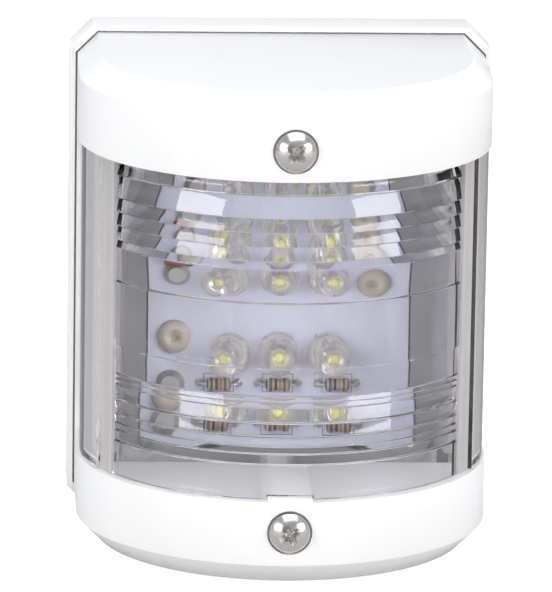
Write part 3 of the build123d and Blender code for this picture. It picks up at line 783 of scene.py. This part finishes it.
def pan_head():
    """The head with its recess cut, as a bmesh whose underside is Z = 0."""
    rise = head_height - head_edge
    dome_radius = (screw_head_radius**2 + rise**2) / (2 * rise)
    half_angle = degrees(asin(screw_head_radius / dome_radius))
    profile = [(0, 0), (screw_head_radius - head_shoulder, 0)]
    profile += [(screw_head_radius - 0.04, 0.08), (screw_head_radius, head_shoulder)]
    dome = arc_points((0, head_height - dome_radius), dome_radius, 90 - half_angle, 88, 10)
    profile += dome + [(0, head_height)]
    head = mesh_from(turned(profile, 64), "head")
    cutter_bm = cross_cutter()
    bmesh.ops.translate(cutter_bm, verts=cutter_bm.verts, vec=(0, 0, head_height))
    cutter = mesh_from(cutter_bm, "cutter")
    cut = head.modifiers.new("recess", "BOOLEAN")
    cut.operation = "DIFFERENCE"
    cut.solver = "EXACT"
    cut.object = cutter
    rounding = head.modifiers.new("rounding", "BEVEL")
    rounding.width = 0.08
    rounding.segments = 2
    rounding.limit_method = "ANGLE"
    rounding.angle_limit = radians(35)
    bpy.context.view_layer.update()
    result = head.evaluated_get(bpy.context.evaluated_depsgraph_get())
    bm = bmesh.new()
    bm.from_mesh(result.to_mesh())
    result.to_mesh_clear()
    for leftover in (head, cutter):
        bpy.data.objects.remove(leftover)
    shade(bm, 30)
    return bm


def threaded_shaft(length):
    """A shaft with one helical thread, down from Z = 0 to a point."""
    around, per_turn = 32, 10
    core_radius = shaft_radius - thread_depth
    rows = int(length / thread_pitch * per_turn)
    bm = bmesh.new()
    grid = []
    for row in range(rows + 1):
        z = -length * row / rows
        taper = min(1.0, (length + z) / screw_point)
        ring_verts = []
        for i in range(around):
            angle = 2 * pi * i / around
            phase = (z / thread_pitch + i / around) % 1.0
            crest = max(0.0, 1 - abs(phase - 0.5) / thread_half_width)
            thread = thread_depth * crest if z < thread_start else thread_depth * 0.5
            radius = max(blunt_end, (core_radius + thread) * taper)
            ring_verts.append(bm.verts.new((radius * cos(angle), radius * sin(angle), z)))
        grid.append(ring_verts)
    for high, low in zip(grid, grid[1:]):
        for i in range(around):
            j = (i + 1) % around
            bm.faces.new((high[i], high[j], low[j], low[i]))
    bm.faces.new(grid[0])
    bm.faces.new(grid[-1])
    shade(bm, 50)
    return bm


def make_screws():
    for node, (side, turn) in screw_turns.items():
        bm = pan_head()
        merge(bm, threaded_shaft(screw_tip - screw_top - head_height), Matrix())
        spin = Matrix.Rotation(radians(turn), 4, "Z")
        facing = Matrix.Rotation(radians(90), 4, "X")
        seat = Matrix.Translation((0, screw_top + head_height, side * screw_height))
        bm.transform(seat @ facing @ spin)
        body = node.replace("_cover", "")
        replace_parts(add_object(node + "_steel", bm, body, stainless), node)


make_screws()


# ---------------------------------------------------------------- CAD shapes that keep their form
# Each row: node, body, material, slot and the width of its rounded edges.
refined_nodes = [
    ("front_cover", "cover", abs_white, "white_housing", 0.35),
    ("base_plate", "base", abs_white, "white_housing", 0.3),
    ("sector_screens", "base", screen_grey, "screen_grey", 0.2),
    ("cover_gasket", "base", rubber_grey, "gasket_rubber", 0.15),
    ("wall_gasket", "base", rubber_grey, "gasket_rubber", 0.15),
    ("cable_grommet", "base", rubber_grey, "gasket_rubber", 0.25),
    ("circuit_board", "base", board_mask, "board", 0.08),
    ("terminal_block", "base", nylon_natural, "terminal_plastic", 0.2),
    ("terminal_inserts", "base", brass_plated, "brass_insert", 0.08),
    ("terminal_screws", "base", stainless, "tinned_metal", 0.08),
    ("board_rivets", "base", nylon_beige, "rivet_nylon", 0.1),
    ("left_cutoff_strip", "cover", strip_frosted, "frosted_strip", 0.12),
    ("right_cutoff_strip", "cover", strip_frosted, "frosted_strip", 0.12),
    # The dark grey washers show as a dark ring round each screw head.
    ("top_seal_washer", "top_washer", rubber_grey, "gasket_rubber", 0.12),
    ("bottom_seal_washer", "bottom_washer", rubber_grey, "gasket_rubber", 0.12),
]
for node, body, material, slot, bevel in refined_nodes:
    refined(node, body, material, bevel)

# Leads and solder keep their CAD shapes and take a material.
kept_nodes = {
    "resistor_leads": tin_bright,
    "solder_joints": solder_grey,
    "red_lead": pvc_red,
    "black_lead": pvc_black,
}
for node, material in kept_nodes.items():
    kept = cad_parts[node]
    kept.data.materials.clear()
    kept.data.materials.append(material)


# ---------------------------------------------------------------- floor, lights and camera
floor_glow = 1.0  # keeps the paper white to the camera, while it throws little light back up
floor_half = 3.0  # metres
paper_dark, paper, paper_light = (0.545,) * 3, (0.55,) * 3, (0.555,) * 3


def make_floor():
    shader = Shader("floor_paper", paper, 0.9, Emission_Color=(1, 1, 1, 1))
    seen = shader.node("ShaderNodeMath", operation="MULTIPLY")
    seen.inputs[1].default_value = floor_glow
    shader.link(shader.node("ShaderNodeLightPath").outputs["Is Camera Ray"], seen.inputs[0])
    shader.link(seen.outputs[0], shader.principled.inputs["Emission Strength"])
    grain = shader.noise(3.0)
    shader.colour(shader.ramp(grain, (0.3, paper_dark), (0.7, paper_light)))
    shader.bump(grain, 0.01)
    bm = bmesh.new()
    bmesh.ops.create_grid(bm, x_segments=8, y_segments=8, size=floor_half)
    mesh = bpy.data.meshes.new("floor")
    bm.to_mesh(mesh)
    bm.free()
    mesh.materials.append(shader.material)
    floor = bpy.data.objects.new("floor", mesh)
    floor.location.z = cad_box[0].z
    bpy.context.scene.collection.objects.link(floor)


def make_softbox(name, azimuth, elevation, distance, width, height, radiance):
    """A rectangular softbox, sizes in metres; azimuth is from straight ahead, to the viewer's right."""
    lamp = bpy.data.lights.new(name, "AREA")
    lamp.shape = "RECTANGLE"
    lamp.size, lamp.size_y = width, height
    lamp.energy = radiance * pi * width * height
    a, e = radians(azimuth), radians(elevation)
    away = Vector((sin(a) * cos(e), -cos(a) * cos(e), sin(e)))
    softbox = bpy.data.objects.new(name, lamp)
    softbox.location = away * distance
    softbox.rotation_euler = away.to_track_quat("Z", "Y").to_euler()
    bpy.context.scene.collection.objects.link(softbox)


def make_world():
    """White to the camera; to everything else, a bright backdrop behind and a dimmer room in front.

    The ranges map a direction's Y, which is positive towards the backdrop, to how brightly it glows.
    """
    world = bpy.data.worlds.new("studio")
    bpy.context.scene.world = world
    world.use_nodes = True
    tree = world.node_tree
    backdrop = tree.nodes["Background"]
    backdrop.inputs["Color"].default_value = (1, 1, 1, 1)
    backdrop.inputs["Strength"].default_value = 1.0
    room = tree.nodes.new("ShaderNodeBackground")
    room.inputs["Color"].default_value = (0.94, 0.955, 1.0, 1)
    direction = tree.nodes.new("ShaderNodeTexCoord")
    parts = tree.nodes.new("ShaderNodeSeparateXYZ")
    backdrop_glow = tree.nodes.new("ShaderNodeMapRange")
    ranges = {"From Min": -0.2, "From Max": 0.6, "To Min": 0.45, "To Max": 0.8}
    for socket, value in ranges.items():
        backdrop_glow.inputs[socket].default_value = value
    tree.links.new(direction.outputs["Generated"], parts.inputs[0])
    tree.links.new(parts.outputs["Y"], backdrop_glow.inputs["Value"])
    tree.links.new(backdrop_glow.outputs["Result"], room.inputs["Strength"])
    mix = tree.nodes.new("ShaderNodeMixShader")
    path = tree.nodes.new("ShaderNodeLightPath")
    tree.links.new(path.outputs["Is Camera Ray"], mix.inputs[0])
    tree.links.new(room.outputs[0], mix.inputs[1])
    tree.links.new(backdrop.outputs[0], mix.inputs[2])
    tree.links.new(mix.outputs[0], tree.nodes["World Output"].inputs["Surface"])


camera_spot = Vector((-51.3, -1027.3, 239.3))  # millimetres
camera_yaw, camera_pitch, camera_roll = -2.87, 13.45, 0.92  # degrees: to the left, down, and tilt
camera_lens = 372.8
camera_clips = (0.05, 20.0)  # metres


def make_camera():
    data = bpy.data.cameras.new("camera")
    data.lens = camera_lens
    data.clip_start, data.clip_end = camera_clips
    camera = bpy.data.objects.new("camera", data)
    level = Matrix.Rotation(radians(camera_yaw), 4, "Z") @ Matrix.Rotation(radians(90 - camera_pitch), 4, "X")
    roll = Matrix.Rotation(radians(camera_roll), 4, "Z")
    camera.matrix_world = Matrix.Translation(camera_spot * MM) @ level @ roll
    bpy.context.scene.collection.objects.link(camera)
    bpy.context.scene.camera = camera


make_floor()
for name, azimuth in (("left_softbox", -51.0), ("right_softbox", 51.0)):
    make_softbox(name, azimuth, elevation=13.5, distance=0.75, width=0.37, height=0.27, radiance=8.4)
make_softbox("top_softbox", 10.0, elevation=72.0, distance=0.9, width=1.0, height=0.8, radiance=1.6)
make_world()
make_camera()
bpy.context.scene.view_settings.view_transform = "Standard"
